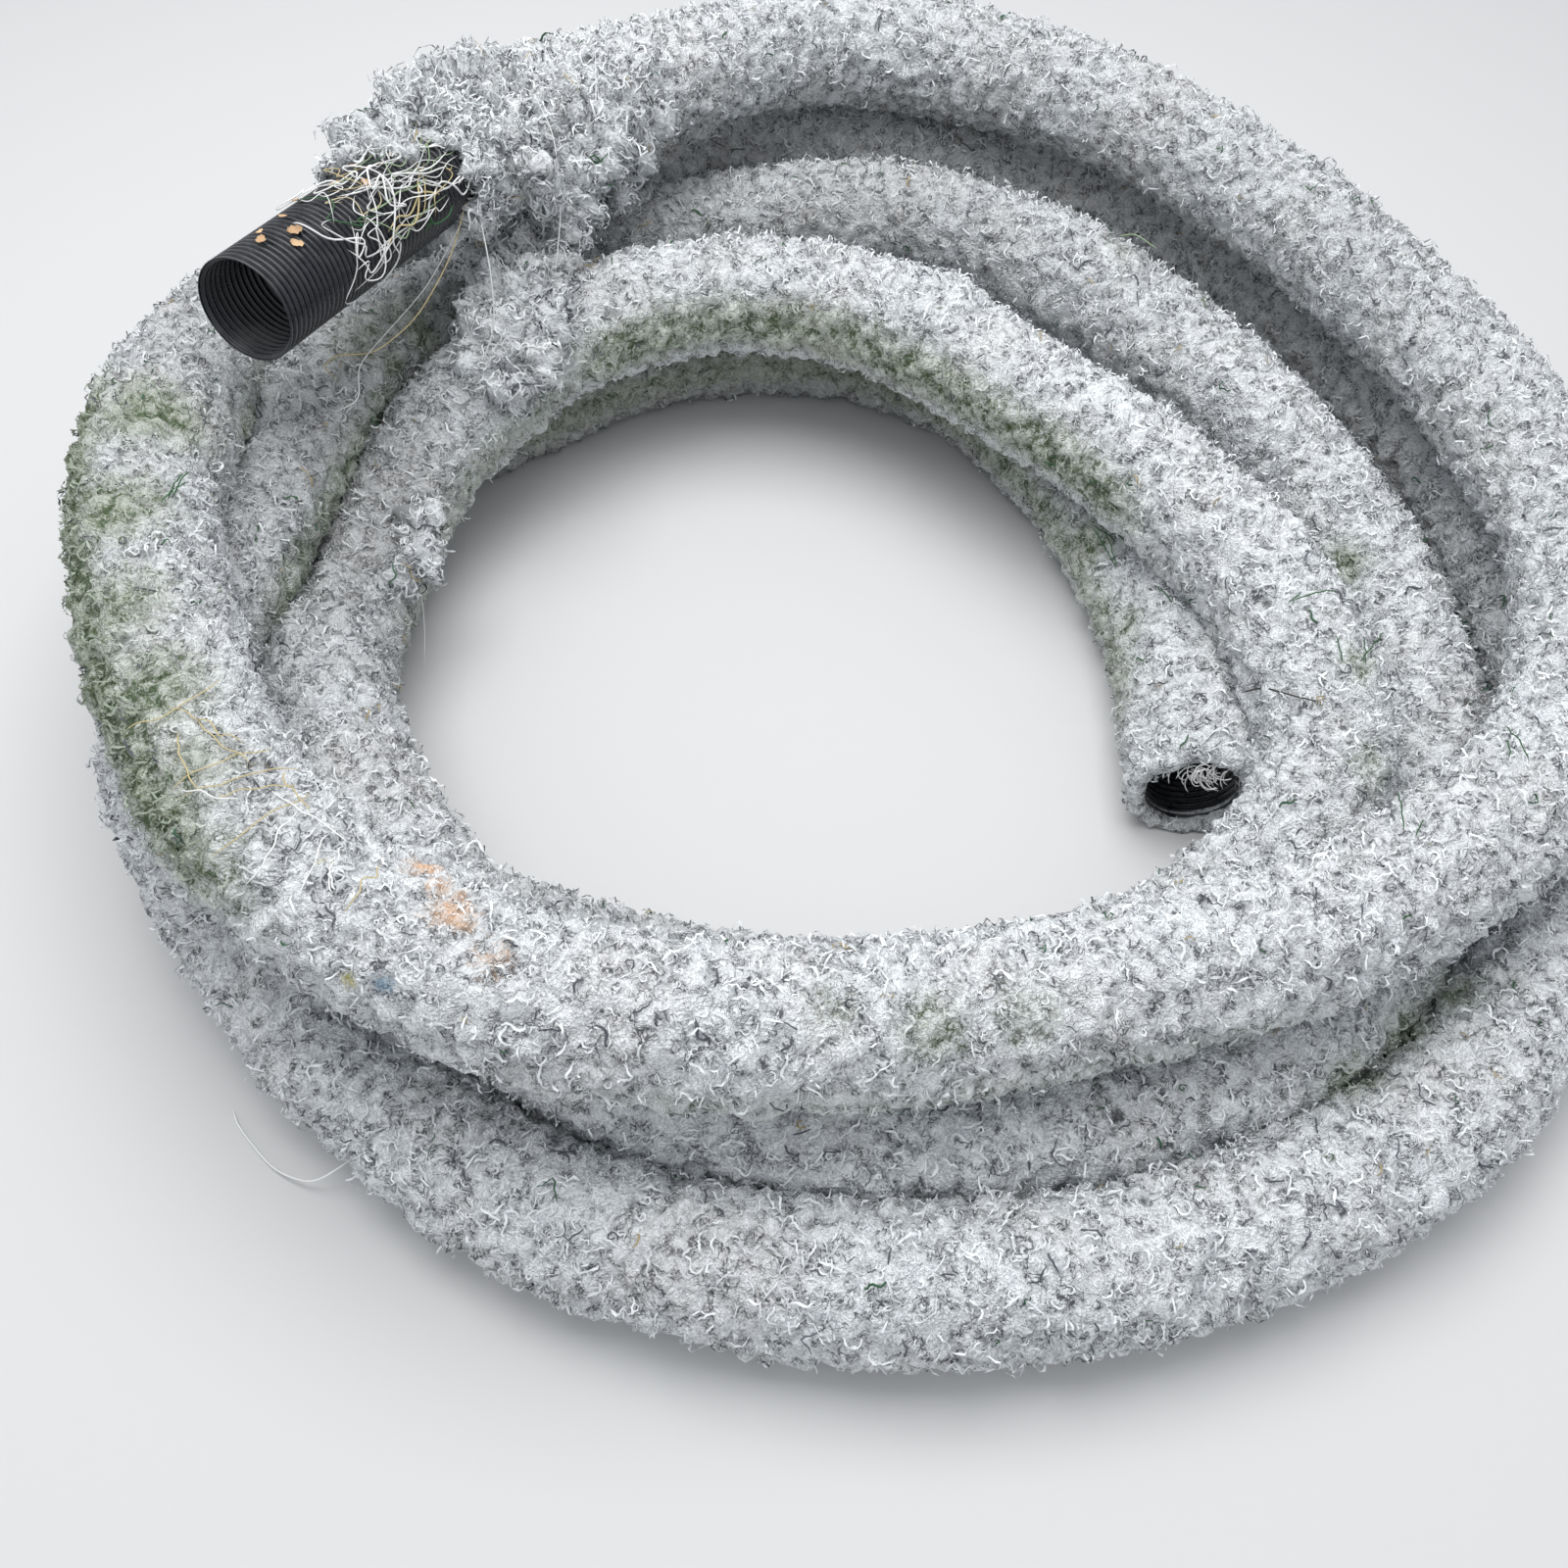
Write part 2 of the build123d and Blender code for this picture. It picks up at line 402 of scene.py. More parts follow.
STAINS = {
    # colour of each kind, and the middle, reach and strength of its spots
    "rust": ((0.72, 0.42, 0.22, 1), [
        (-0.440, -0.678, 0.391, 0.032, 0.85), (-0.420, -0.705, 0.396, 0.026, 0.7),
        (-0.402, -0.727, 0.400, 0.040, 0.85), (-0.363, -0.771, 0.394, 0.040, 0.6),
        (0.300, -0.715, 0.150, 0.02, 0.5),
    ]),
    "dark": ((0.022, 0.024, 0.028, 1), [
        (0.457, -0.162, 0.258, 0.011, 1.6), (-0.038, 0.398, 0.305, 0.010, 1.3),
        (0.240, -0.780, 0.142, 0.012, 1.4), (-0.395, 0.640, 0.500, 0.022, 1.6),
        (-0.405, 0.600, 0.490, 0.020, 1.6), (-0.380, 0.620, 0.490, 0.018, 1.5),
    ]),
    "chalk": ((0.95, 0.95, 0.95, 1), [
        (0.677, -0.113, 0.155, 0.012, 1.6), (-0.687, 0.057, 0.250, 0.012, 1.2),
    ]),
    "blue": ((0.20, 0.36, 0.50, 1), [(-0.459, -0.790, 0.376, 0.018, 0.9)]),
    "yellow": ((0.62, 0.56, 0.16, 1), [
        (-0.488, -0.782, 0.370, 0.016, 1.0), (-0.524, -0.688, 0.416, 0.014, 0.7),
    ]),
}
# the felt's darker grey, which also stands for painted shade in the hollows between tufts
FELT_GREY_AND_PAINTED_SHADE = (0.60, 0.62, 0.64, 1)
FELT_PALE = (0.93, 0.96, 0.98, 1)
FELT_WARM = (0.76, 0.72, 0.70, 1)
# near black standing for painted shade in the creases between tufts
FELT_PAINTED_CREASE_SHADE = (0.13, 0.135, 0.15, 1)
# near black standing for painted shadow lines in the gaps between fibres
FELT_PAINTED_GAP_SHADOW = (0.09, 0.093, 0.10, 1)
FELT_GREYED = (0.13, 0.13, 0.125, 1)
GROWTH_FILM = (0.27, 0.33, 0.17, 1)
GROWTH_DEEP = (0.050, 0.085, 0.032, 1)


def spot_depth(points, place, reach):
    """How deep each point lies in a soft round spot, from 0 to 1."""
    distance = np.linalg.norm(points - place, axis=1)
    return np.exp(-SPOT_FALL * (distance / reach) ** 2)


def nearness(points, spots):
    """How deep each point lies in the strongest of these spots."""
    depth = np.zeros(len(points))
    for *place, reach, strength in spots:
        depth = np.maximum(depth, strength * spot_depth(points, place, reach))
    return depth


def grown(points, outward, along):
    """How green each place of the felt is: in round spots and along some flanks."""
    green = nearness(points, GREEN_SPOTS)
    inward = unit(np.array(COIL_MIDDLE) - points * (1, 1, 0))
    facing = (outward * inward).sum(axis=1)
    for first, last, across, up, strength in GREEN_FLANKS:
        middle, half = (first + last) / 2, (last - first) / 2
        band = np.clip((half - np.abs(along - middle)) / FLANK_FADE, 0, 1)
        aside = (facing - across) ** 2 + (outward[:, 2] - up) ** 2
        green = np.maximum(green, strength * band * np.exp(-aside / FLANK_SPREAD))
    return green


def envelope_mesh():
    """The felt's plain skin, one ring after another, turned in at both ends."""
    cover_rings = int((cover_end - ENVELOPE_START) / ENVELOPE_STEP)
    cover_along = np.linspace(ENVELOPE_START, cover_end, cover_rings)
    (start_at, start_radii), (mouth_at, mouth_radii) = START_LIP, MOUTH_LIP
    along = np.r_[ENVELOPE_START + np.array(start_at), cover_along, cover_end + np.array(mouth_at)]
    radii = np.r_[start_radii, np.full(cover_rings, ENVELOPE_RADIUS), mouth_radii]
    flare = MOUTH_FLARE * np.exp(-((along - cover_end) / MOUTH_FLARE_REACH) ** 2)
    radii = radii + flare * (radii > FLARED_OVER)
    points, outward = rings_along(along, radii, ENVELOPE_SIDES)
    flat = points.reshape(-1, 3)
    swell = sum(amount * spot_depth(flat, place, reach) for *place, reach, amount in FULL_SPOTS)
    on_body = np.repeat(radii, ENVELOPE_SIDES) > SWOLLEN_OVER
    swell = np.where(on_body, np.minimum(swell, MOST_SWELL), 0)
    return points + outward * swell.reshape(len(along), -1, 1), outward, along


def attribute(mesh, name, values):
    field = mesh.attributes.new(name, "FLOAT", "POINT")
    field.data.foreach_set("value", values.astype(np.float32))


def mark_stains(mesh, points):
    """Give the mesh the depth of each kind of stain at each of its points."""
    for stain, (hue, spots) in STAINS.items():
        attribute(mesh, stain, nearness(points, spots))


def shape_tree(name, *sockets):
    """A tree of Geometry Nodes with named inputs: the tree, and its inputs by name."""
    group = bpy.data.node_groups.new(name, "GeometryNodeTree")
    group.interface.new_socket("Geometry", in_out="INPUT", socket_type="NodeSocketGeometry")
    for label, kind in sockets:
        group.interface.new_socket(label, in_out="INPUT", socket_type="NodeSocket" + kind)
    group.interface.new_socket("Geometry", in_out="OUTPUT", socket_type="NodeSocketGeometry")
    tree = Tree(group)
    source = group.nodes.new("NodeGroupInput")
    return tree, {socket.name: Value(tree, socket) for socket in source.outputs if socket.name}


def store(tree, geometry, name, value, kind="FLOAT", domain="POINT"):
    """The geometry with a named attribute of its own."""
    inputs = {"Geometry": geometry, "Name": name, "Value": value}
    return tree.add("GeometryNodeStoreNamedAttribute", inputs, data_type=kind, domain=domain)


def end_tree(tree, geometry, finish):
    """Close a shape tree with plain geometry of one material."""
    plain = tree.add("GeometryNodeRealizeInstances", {"Geometry": geometry})
    finished = tree.add("GeometryNodeSetMaterial", {"Geometry": plain, "Material": finish})
    tree.put(tree.tree.nodes.new("NodeGroupOutput").inputs[0], finished)


def shape(piece, tree, **values):
    """Give the piece the mesh that the tree makes of it, with these values on its inputs."""
    modifier = piece.modifiers.new("shape", "NODES")
    modifier.node_group = tree.tree
    for socket in tree.tree.interface.items_tree:
        key = socket.name.replace(" ", "_")
        if socket.in_out == "INPUT" and key in values:
            modifier[socket.identifier] = values[key]
    graph = bpy.context.evaluated_depsgraph_get()
    mesh = bpy.data.meshes.new_from_object(piece.evaluated_get(graph))
    piece.modifiers.clear()
    piece.data = mesh


def rest_on_floor(piece):
    """Nothing reaches below the floor: what would is pressed flat on it."""
    points = np.empty(len(piece.data.vertices) * 3, np.float32)
    piece.data.vertices.foreach_get("co", points)
    points[2::3] = np.maximum(points[2::3], FLOOR_GAP)
    piece.data.vertices.foreach_set("co", points)
    piece.data.update()


def noise(tree, place, scale, detail=2.0, roughness=0.5, output=0, distortion=0.0):
    inputs = {"Vector": place, "Scale": scale, "Detail": detail, "Roughness": roughness}
    inputs["Distortion"] = distortion
    return tree.add("ShaderNodeTexNoise", inputs, output=output)


def read(tree, name, output=2):
    """A mesh attribute in a material, as a number, or as a vector from output 1."""
    return tree.add("ShaderNodeAttribute", output=output, attribute_name=name)


def relief_tree():
    """Felt relief: wide swelling, lumps, round tufts and fine fuzz, pushed out of a plain skin."""
    tree, felt = shape_tree(
        "felt_relief", ("Swell", "Float"), ("Lumps", "Float"), ("Tufts", "Float"),
        ("Tuft Size", "Float"), ("Finish", "Material"),
    )
    place = tree.add("GeometryNodeInputPosition")
    normal = tree.add("GeometryNodeInputNormal")
    loft = tree.add("GeometryNodeInputNamedAttribute", {"Name": "loft"}, data_type="FLOAT")
    stir = tree.vector("SUBTRACT", noise(tree, place, 55.0, output=1), (0.5, 0.5, 0.5))
    stirred = tree.vector("ADD", place, tree.vector("MULTIPLY", stir, (0.02, 0.02, 0.02)))
    cell = {"Vector": stirred, "Scale": felt["Tuft Size"], "Smoothness": 0.25}
    tuft = 1 - tree.add("ShaderNodeTexVoronoi", cell, feature="SMOOTH_F1") * 1.25
    tuft = tuft.ramp(0.0, 0.9)
    swell = (noise(tree, place, 6.0, 1.0) - 0.5) * felt["Swell"]
    lumps = (noise(tree, place, 26.0, 2.0) - 0.5) * felt["Lumps"]
    fuzz = (noise(tree, place, 150.0, 1.0) - 0.5) * 0.0045
    height = (swell + lumps + fuzz + tuft * felt["Tufts"]) * (1 + loft)
    offset = tree.add("ShaderNodeVectorMath", {0: normal, "Scale": height}, operation="SCALE")
    relieved = store(tree, felt["Geometry"], "rest", place, kind="FLOAT_VECTOR")
    # the tuft height also paints shade into the felt's colour, darker in the hollows between tufts
    relieved = store(tree, relieved, "tuft", tuft)
    relieved = tree.add("GeometryNodeSetPosition", {"Geometry": relieved, "Offset": offset})
    end_tree(tree, relieved, felt["Finish"])
    return tree


def creases(tree, place, scale, stir):
    """How far each place lies from the creases between soft uneven tufts of this size."""
    shift = noise(tree, place, scale * 1.3, 2.0, 0.6, output=1)
    shift = tree.vector("SUBTRACT", shift, (0.5, 0.5, 0.5))
    moved = tree.vector("ADD", place, tree.vector("MULTIPLY", shift, (stir / scale,) * 3))
    inputs = {"Vector": moved, "Scale": scale}
    return tree.add("ShaderNodeTexVoronoi", inputs, feature="DISTANCE_TO_EDGE")


def weathered_felt():
    """Matted pale fibre with curls and painted shade in its creases and gaps, greyed in places, with
    growth and stains.
    """
    tree, shader, finish = finish_of("weathered_felt", Roughness=0.95, Specular_IOR_Level=0.15)
    rest = read(tree, "rest", output=1)
    tuft, green, kept = read(tree, "tuft"), read(tree, "green"), read(tree, "kept")
    wide = creases(tree, rest, 66.0, 1.6)
    curl = abs(noise(tree, rest, 120.0, 1.5, 0.5, distortion=1.4) - 0.5).ramp(0.02, 0.10, 1.0, 0.0)
    # painted shadow: thin dark winding lines for the shadows in the gaps between fibres
    painted_gap_shadow = abs(noise(tree, rest, 125.0, 1.5, 0.55, distortion=0.9) - 0.5)
    painted_gap_shadow = painted_gap_shadow.ramp(0.012, 0.055, 1.0, 0.0)
    fleck = noise(tree, rest, 230.0, 1.0, 0.6, distortion=1.6).ramp(0.34, 0.62)
    curly = noise(tree, rest, 58.0, 2.0).ramp(0.38, 0.62)
    warm = noise(tree, rest, 9.0, 3.0).ramp(0.4, 0.7)
    # painted shade: near black along the creases between tufts, except where curls lie
    painted_crease_shade = wide.ramp(0.02, 0.16, 1.0, 0.0) * (1 - curly)
    # painted shade: darker in the hollows between tufts and paler on their tops, mixed with random flecks
    # of the fibre's own tone
    colour = tree.blend(tuft * 0.5 + fleck * 0.6, FELT_GREY_AND_PAINTED_SHADE, FELT_PALE)
    colour = tree.blend(warm * 0.4, colour, FELT_WARM)
    colour = tree.blend(painted_crease_shade * 0.5, colour, FELT_PAINTED_CREASE_SHADE)
    colour = tree.blend(curl * curly * 0.8, colour, FELT_PALE)
    colour = tree.blend(painted_gap_shadow * (1 - curly) * 0.9, colour, FELT_PAINTED_GAP_SHADOW)
    colour = tree.blend((1 - kept) * 0.9, colour, FELT_GREYED)
    ragged = noise(tree, rest, 75.0, 4.0, 0.9) - 0.5
    film = (green + ragged * 1.2).ramp(0.15, 1.15)
    colour = tree.blend(film * 0.55, colour, GROWTH_FILM)
    growth = (green * 0.9 + ragged * 3.4 + (tuft - 0.5) * -0.6).ramp(0.75, 1.35)
    colour = tree.blend(growth * green.ramp(0.05, 0.3) * 0.88, colour, GROWTH_DEEP)
    for stain, (hue, spots) in STAINS.items():
        depth = read(tree, stain)
        spread = (depth + ragged * 1.6).ramp(0.35, 1.0) * depth.ramp(0.03, 0.3)
        colour = tree.blend(spread * 0.8, colour, hue)
    tree.put(shader.inputs["Base Color"], colour)
    relief = wide.ramp(0.0, 0.35) * 1.6 + fleck * 0.8 + curl * 0.6
    bump = {"Strength": 1.0, "Distance": 0.0011, "Height": relief}
    tree.put(shader.inputs["Normal"], tree.add("ShaderNodeBump", bump))
    return finish


cover_end = line_along[-1]
skin_points, skin_outward, skin_along = envelope_mesh()
skin_loft = COLLAR_LOFT * np.exp(-((skin_along - ENVELOPE_START) / COLLAR_REACH) ** 2)
skin_loft[-len(MOUTH_LOFT):] = MOUTH_LOFT
felt_relief = relief_tree()
felt_finish = weathered_felt()
part_edges = np.linspace(0, len(skin_along) - 1, ENVELOPE_PARTS + 1).astype(int)
felt_parts = []
for number, (first, last) in enumerate(zip(part_edges, part_edges[1:])):
    last = min(last + 1, len(skin_along) - 1)
    points = skin_points[first:last + 1].reshape(-1, 3)
    faces = ring_faces(last + 1 - first, ENVELOPE_SIDES)
    piece = mesh_piece(f"felt_{number + 1}", points, faces, felt_finish)
    along = np.repeat(skin_along[first:last + 1], ENVELOPE_SIDES)
    outward = skin_outward[first:last + 1].reshape(-1, 3)
    attribute(piece.data, "loft", np.repeat(skin_loft[first:last + 1], ENVELOPE_SIDES))
    attribute(piece.data, "green", grown(points, outward, along))
    attribute(piece.data, "kept", np.interp(along, *np.array(WEATHERING).T))
    mark_stains(piece.data, points)
    attribute(piece.data, "upward", outward[:, 2])
    shape(piece, felt_relief, **FELT_RELIEF, Finish=felt_finish)
    rest_on_floor(piece)
    felt_parts.append(piece)
    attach(piece, "root")
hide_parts("fibre_envelope")


# Torn felt. Where the envelope was pulled back from the bare end, its fibre hangs in thick
# loose tongues, over the pipe and down between the turns. One small tuft sticks out inside
# the coil at the left.

TORN_LOBES = [
    # half the width and thickness of each tongue, and where it runs
    (0.062, 0.024, [
        (-0.360, 0.640, 0.450), (-0.405, 0.560, 0.430), (-0.450, 0.490, 0.385), (-0.485, 0.440, 0.320),
        (-0.495, 0.370, 0.297), (-0.493, 0.309, 0.292), (-0.499, 0.232, 0.270), (-0.507, 0.180, 0.232),
    ]),
    (0.045, 0.022, [
        (-0.650, 0.285, 0.510), (-0.620, 0.370, 0.518), (-0.575, 0.450, 0.518), (-0.520, 0.520, 0.508),
    ]),
    (0.034, 0.020, [(-0.690, 0.300, 0.470), (-0.655, 0.390, 0.480), (-0.610, 0.480, 0.480)]),
    (0.036, 0.018, [(-0.340, 0.640, 0.400), (-0.375, 0.580, 0.350), (-0.400, 0.545, 0.300)]),
    (0.030, 0.018, [(-0.480, 0.370, 0.455), (-0.475, 0.420, 0.420), (-0.480, 0.450, 0.370)]),
    (0.018, 0.012, [
        (-0.596, 0.005, 0.195), (-0.584, -0.030, 0.190), (-0.580, -0.065, 0.172), (-0.592, -0.100, 0.158),
    ]),
]
LOBE_SIDES = 44
LOBE_STEP = 0.005
LOBE_EASING = 12
LOBE_BLUNTNESS = 5
LOBE_END = 0.05
TORN_RELIEF = {"Swell": 0.018, "Lumps": 0.022, "Tufts": 0.014, "Tuft_Size": 40.0}
TORN_LOFT = 1.0
TORN_GREEN = 0.05
TORN_KEPT = 0.78


def rounded(points, times):
    """The points with their corners worn off so many times, and both ends kept."""
    for turn in range(times):
        points[1:-1] = (points[:-2] + points[2:] + 2 * points[1:-1]) / 4
    return points


def lobe_mesh(half_width, half_depth, way):
    """A flat rounded tongue of felt along a way, closed at both ends."""
    way = np.array(way)
    lengths = distances_along(way)
    count = int(lengths[-1] / LOBE_STEP) + 1
    centres = rounded(read_off(np.linspace(0, lengths[-1], count), lengths, way), LOBE_EASING)
    side, up = sideways_and_up(unit(np.gradient(centres, axis=0)))
    share = np.linspace(-1, 1, count)
    rounding = np.clip(1 - np.abs(share) ** LOBE_BLUNTNESS, 0, 1)
    fullness = np.maximum(np.sqrt(rounding), LOBE_END)[:, None, None]
    points = centres[:, None] + rings(side, up, LOBE_SIDES, half_width, half_depth) * fullness
    points = np.vstack([points.reshape(-1, 3), centres[:1], centres[-1:]])
    faces = ring_faces(count, LOBE_SIDES).tolist()
    first, last = len(points) - 2, len(points) - 1
    edge = (count - 1) * LOBE_SIDES
    corners = [(corner, (corner + 1) % LOBE_SIDES) for corner in range(LOBE_SIDES)]
    faces += [(first, following, corner) for corner, following in corners]
    faces += [(last, edge + corner, edge + following) for corner, following in corners]
    return points, faces


def joined(parts):
    """Points and faces of many small meshes as those of one."""
    starts = np.cumsum([0] + [len(part[0]) for part in parts])
    faces = []
    for start, part in zip(starts, parts):
        faces += [tuple(corner + start for corner in face) for face in part[1]]
    return np.vstack([part[0] for part in parts]), faces


lobe_points, lobe_faces = joined([lobe_mesh(*lobe) for lobe in TORN_LOBES])
torn_felt = mesh_piece("felt_torn", lobe_points, lobe_faces, felt_finish)
for name, level in {"loft": TORN_LOFT, "green": TORN_GREEN, "kept": TORN_KEPT}.items():
    attribute(torn_felt.data, name, np.full(len(lobe_points), level))
mark_stains(torn_felt.data, lobe_points)
shape(torn_felt, felt_relief, **TORN_RELIEF, Finish=felt_finish)
rest_on_floor(torn_felt)
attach(torn_felt, "root")


# Curly strands of the envelope. Short crimped fibres of the felt that stand off its surface
# and lie over it in hooks and curls, most of them grey-white like the rest, a few dark, green
# or straw. They are longer round the torn collar.

STRAND_KINDS = 14
CURL = {"seed": 11, "bends": 7, "length": 0.024, "width": 0.0018, "curl": 0.50, "lift": 0.0055}
WISP = {"seed": 12, "bends": 9, "length": 0.040, "width": 0.0019, "curl": 0.52, "lift": 0.007}
STRANDS_PER_AREA = 4000.0
TORN_PER_AREA = 5000.0
COLLAR_PER_AREA = 4500.0
FLANK_DENSITY = 0.55
UPWARD_DENSITY = 0.75
UNDERSIDE_DENSITY = 0.08
COLLAR_SPREAD = 0.7
COLLAR_LEAST_LOFT = 0.3
STRAND_SHADE = (0.62, 0.64, 0.66, 1)
STRAND_PALE = (0.90, 0.925, 0.94, 1)
STRAND_GREYED = (0.16, 0.16, 0.155, 1)
STRAND_GROWN = (0.13, 0.19, 0.07, 1)
ODD_STRANDS = [
    # shades between which a strand turns to each odd colour: dark, green and straw
    (0.89, 0.895, (0.11, 0.115, 0.13, 1)), (0.98, 0.982, (0.045, 0.11, 0.06, 1)),
    (0.993, 0.994, (0.40, 0.33, 0.20, 1)),
]


def strand_kinds(name, seed, bends, length, width, curl, lift):
    """Flat crimped ribbons of many shapes, in a collection of their own."""
    dice = np.random.default_rng(seed)
    collection = bpy.data.collections.new(name)
    share = np.linspace(0, 1, bends + 1)
    taper = (0.35 + 0.65 * np.sin(math.pi * (0.12 + 0.76 * share)))[:, None]
    for kind in range(STRAND_KINDS):
        size = length * dice.uniform(0.6, 1.3)
        turning = dice.normal(0, curl, bends) + dice.normal(0, curl * 0.8)
        heading = np.cumsum(turning)
        steps = size / bends * np.c_[np.cos(heading), np.sin(heading)]
        path = np.vstack([(0, 0), np.cumsum(steps, axis=0)])
        path -= path.mean(axis=0)
        rise = lift * np.sin(math.pi * share) * dice.uniform(0.5, 1.4)
        rise = rise + lift * 0.35 * dice.normal(0, 1, bends + 1)
        rise[[0, -1]] = (-0.3 * lift, -0.3 * lift * dice.uniform(-3, 1))
        across = unit(np.gradient(path, axis=0))[:, ::-1] * (-1, 1)
        half = width * 0.5 * dice.uniform(0.7, 1.3) * taper
        twist = lift * 0.12 * dice.normal(0, 1, bends + 1)
        left = np.c_[path + across * half, rise + twist]
        right = np.c_[path - across * half, rise - twist]
        points = np.stack([left, right], axis=1).reshape(-1, 3)
        faces = [(2 * bend, 2 * bend + 1, 2 * bend + 3, 2 * bend + 2) for bend in range(bends)]
        collection.objects.link(smooth_object(f"{name}_{kind}", points, faces))
    return collection


def scatter_tree():
    """Strands strewn over a surface by its density attribute, each turned and sized by chance."""
    tree, inputs = shape_tree(
        "strewn_strands", ("Strands", "Collection"), ("Per Area", "Float"), ("Smallest", "Float"),
        ("Largest", "Float"), ("Tilt", "Float"), ("Chance", "Int"), ("Finish", "Material"),
    )
    density = tree.add("GeometryNodeInputNamedAttribute", {"Name": "density"}, data_type="FLOAT")
    strewn = tree.tree.nodes.new("GeometryNodeDistributePointsOnFaces")
    tree.put(strewn.inputs["Mesh"], inputs["Geometry"])
    tree.put(strewn.inputs["Density"], density * inputs["Per Area"])
    tree.put(strewn.inputs["Seed"], inputs["Chance"])
    points, turned = Value(tree, strewn.outputs["Points"]), Value(tree, strewn.outputs["Rotation"])

    def chance(low, high, seed, kind="FLOAT"):
        first, output = {"FLOAT": (2, 1), "INT": (4, 2)}[kind]
        sockets = {first: low, first + 1: high, 8: inputs["Chance"] + seed}
        return tree.add("FunctionNodeRandomValue", sockets, output=output, data_type=kind)

    tilt = tree.add("ShaderNodeCombineXYZ", {
        0: chance(-1.0, 1.0, 11) * inputs["Tilt"],
        1: chance(-1.0, 1.0, 12) * inputs["Tilt"],
        2: chance(0.0, 2 * math.pi, 13),
    })
    spin = tree.add("FunctionNodeEulerToRotation", {0: tilt})
    both = {"Rotation": turned, "Rotate By": spin}
    turned = tree.add("FunctionNodeRotateRotation", both, rotation_space="LOCAL")
    kinds = {"Collection": inputs["Strands"], "Separate Children": True, "Reset Children": True}
    laid = tree.add("GeometryNodeInstanceOnPoints", {
        "Points": points,
        "Instance": tree.add("GeometryNodeCollectionInfo", kinds),
        "Pick Instance": True,
        "Instance Index": chance(0, 1000, 14, "INT"),
        "Rotation": turned,
        "Scale": chance(inputs["Smallest"], inputs["Largest"], 15),
    })
    laid = store(tree, laid, "shade", chance(0.0, 1.0, 16), domain="INSTANCE")
    end_tree(tree, laid, inputs["Finish"])
    return tree


def fibre_strands():
    """Pale fibre, each strand of one shade, greyed and green where the felt below it is."""
    tree, shader, finish = finish_of("fibre_strands", Roughness=0.8, Specular_IOR_Level=0.2)
    shade, green, kept = read(tree, "shade"), read(tree, "green"), read(tree, "kept")
    colour = tree.blend(shade.ramp(0.0, 0.6), STRAND_SHADE, STRAND_PALE)
    colour = tree.blend((1 - kept) * 0.75, colour, STRAND_GREYED)
    colour = tree.blend(green.ramp(0.2, 0.9) * 0.65, colour, STRAND_GROWN)
    for low, high, hue in ODD_STRANDS:
        colour = tree.blend(shade.ramp(low, high), colour, hue)
    tree.put(shader.inputs["Base Color"], colour)
    return finish


def strew(name, ground, density, **values):
    """New piece of strands strewn over a finished piece, at this density at each of its points."""
    piece = ground.copy()
    piece.data = ground.data.copy()
    piece.name = name
    scene.collection.objects.link(piece)
    attribute(piece.data, "density", density)
    shape(piece, strewing, **values, Finish=strand_finish)
    piece.data.name = name
    rest_on_floor(piece)
    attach(piece, "root")


def stored(piece, name):
    values = np.empty(len(piece.data.vertices), np.float32)
    piece.data.attributes[name].data.foreach_get("value", values)
    return values


strand_finish = fibre_strands()
strewing = scatter_tree()
curls = strand_kinds("curl", **CURL)
for number, ground in enumerate(felt_parts):
    density = FLANK_DENSITY + UPWARD_DENSITY * stored(ground, "upward")
    density = np.clip(density, UNDERSIDE_DENSITY, 1)
    density = density * (1 + stored(ground, "loft"))
    strew(
        f"strands_{number + 1}", ground, density, Strands=curls, Per_Area=STRANDS_PER_AREA,
        Smallest=0.55, Largest=1.35, Tilt=0.30, Chance=100 * number,
    )
wisps = strand_kinds("wisp", **WISP)
strew(
    "strands_torn", torn_felt, np.ones(len(torn_felt.data.vertices)), Strands=wisps,
    Per_Area=TORN_PER_AREA, Smallest=0.5, Largest=1.2, Tilt=0.3, Chance=500,
)
collar_loft = stored(felt_parts[0], "loft")
collar_density = np.exp(-((collar_loft - COLLAR_LOFT) / COLLAR_SPREAD) ** 2)
collar_density = collar_density * (collar_loft > COLLAR_LEAST_LOFT)
strew(
    "strands_collar", felt_parts[0], collar_density, Strands=wisps,
    Per_Area=COLLAR_PER_AREA, Smallest=0.5, Largest=1.2, Tilt=0.5, Chance=600,
)
for kinds in (curls, wisps):
    for kind in list(kinds.objects):
        bpy.data.objects.remove(kind)
    bpy.data.collections.remove(kinds)


# Drain pipe. One length of black PVC, blown into close round ribs. It is bare at the end on
# top of the coil, dusty on the ribs there, and shows once more inside the mouth.

PIPE_RADIUS = 0.0625
PIPE_WALL = 0.001
PIPE_SIDES = 56
PIPE_UNDER_FELT = 0.05
PIPE_VIEW_IN = 0.34
MOUTH_SETBACK = 0.0005
RIB_PITCH = 0.009
RIB_DEPTH = 0.0045
RIB_CREST = 0.0036
RIB_ROOT = 0.0028
CREST_EASE = 0.0008
CREST_DROP = 0.0005
ROOT_EASE = 0.0005
ROOT_RISE = 0.0006
PIPE_BLACK = (0.006, 0.008, 0.013, 1)
PIPE_DUST = (0.20, 0.20, 0.20, 1)

rib_flank = (RIB_PITCH - RIB_CREST - RIB_ROOT) / 2
rib_ends = np.cumsum([
    0, CREST_EASE, RIB_CREST - 2 * CREST_EASE, CREST_EASE,
    rib_flank, ROOT_EASE, RIB_ROOT - 2 * ROOT_EASE, ROOT_EASE,
])
rib_heights = np.array([
    -CREST_DROP, 0, 0, -CREST_DROP,
    ROOT_RISE - RIB_DEPTH, -RIB_DEPTH, -RIB_DEPTH, ROOT_RISE - RIB_DEPTH,
])


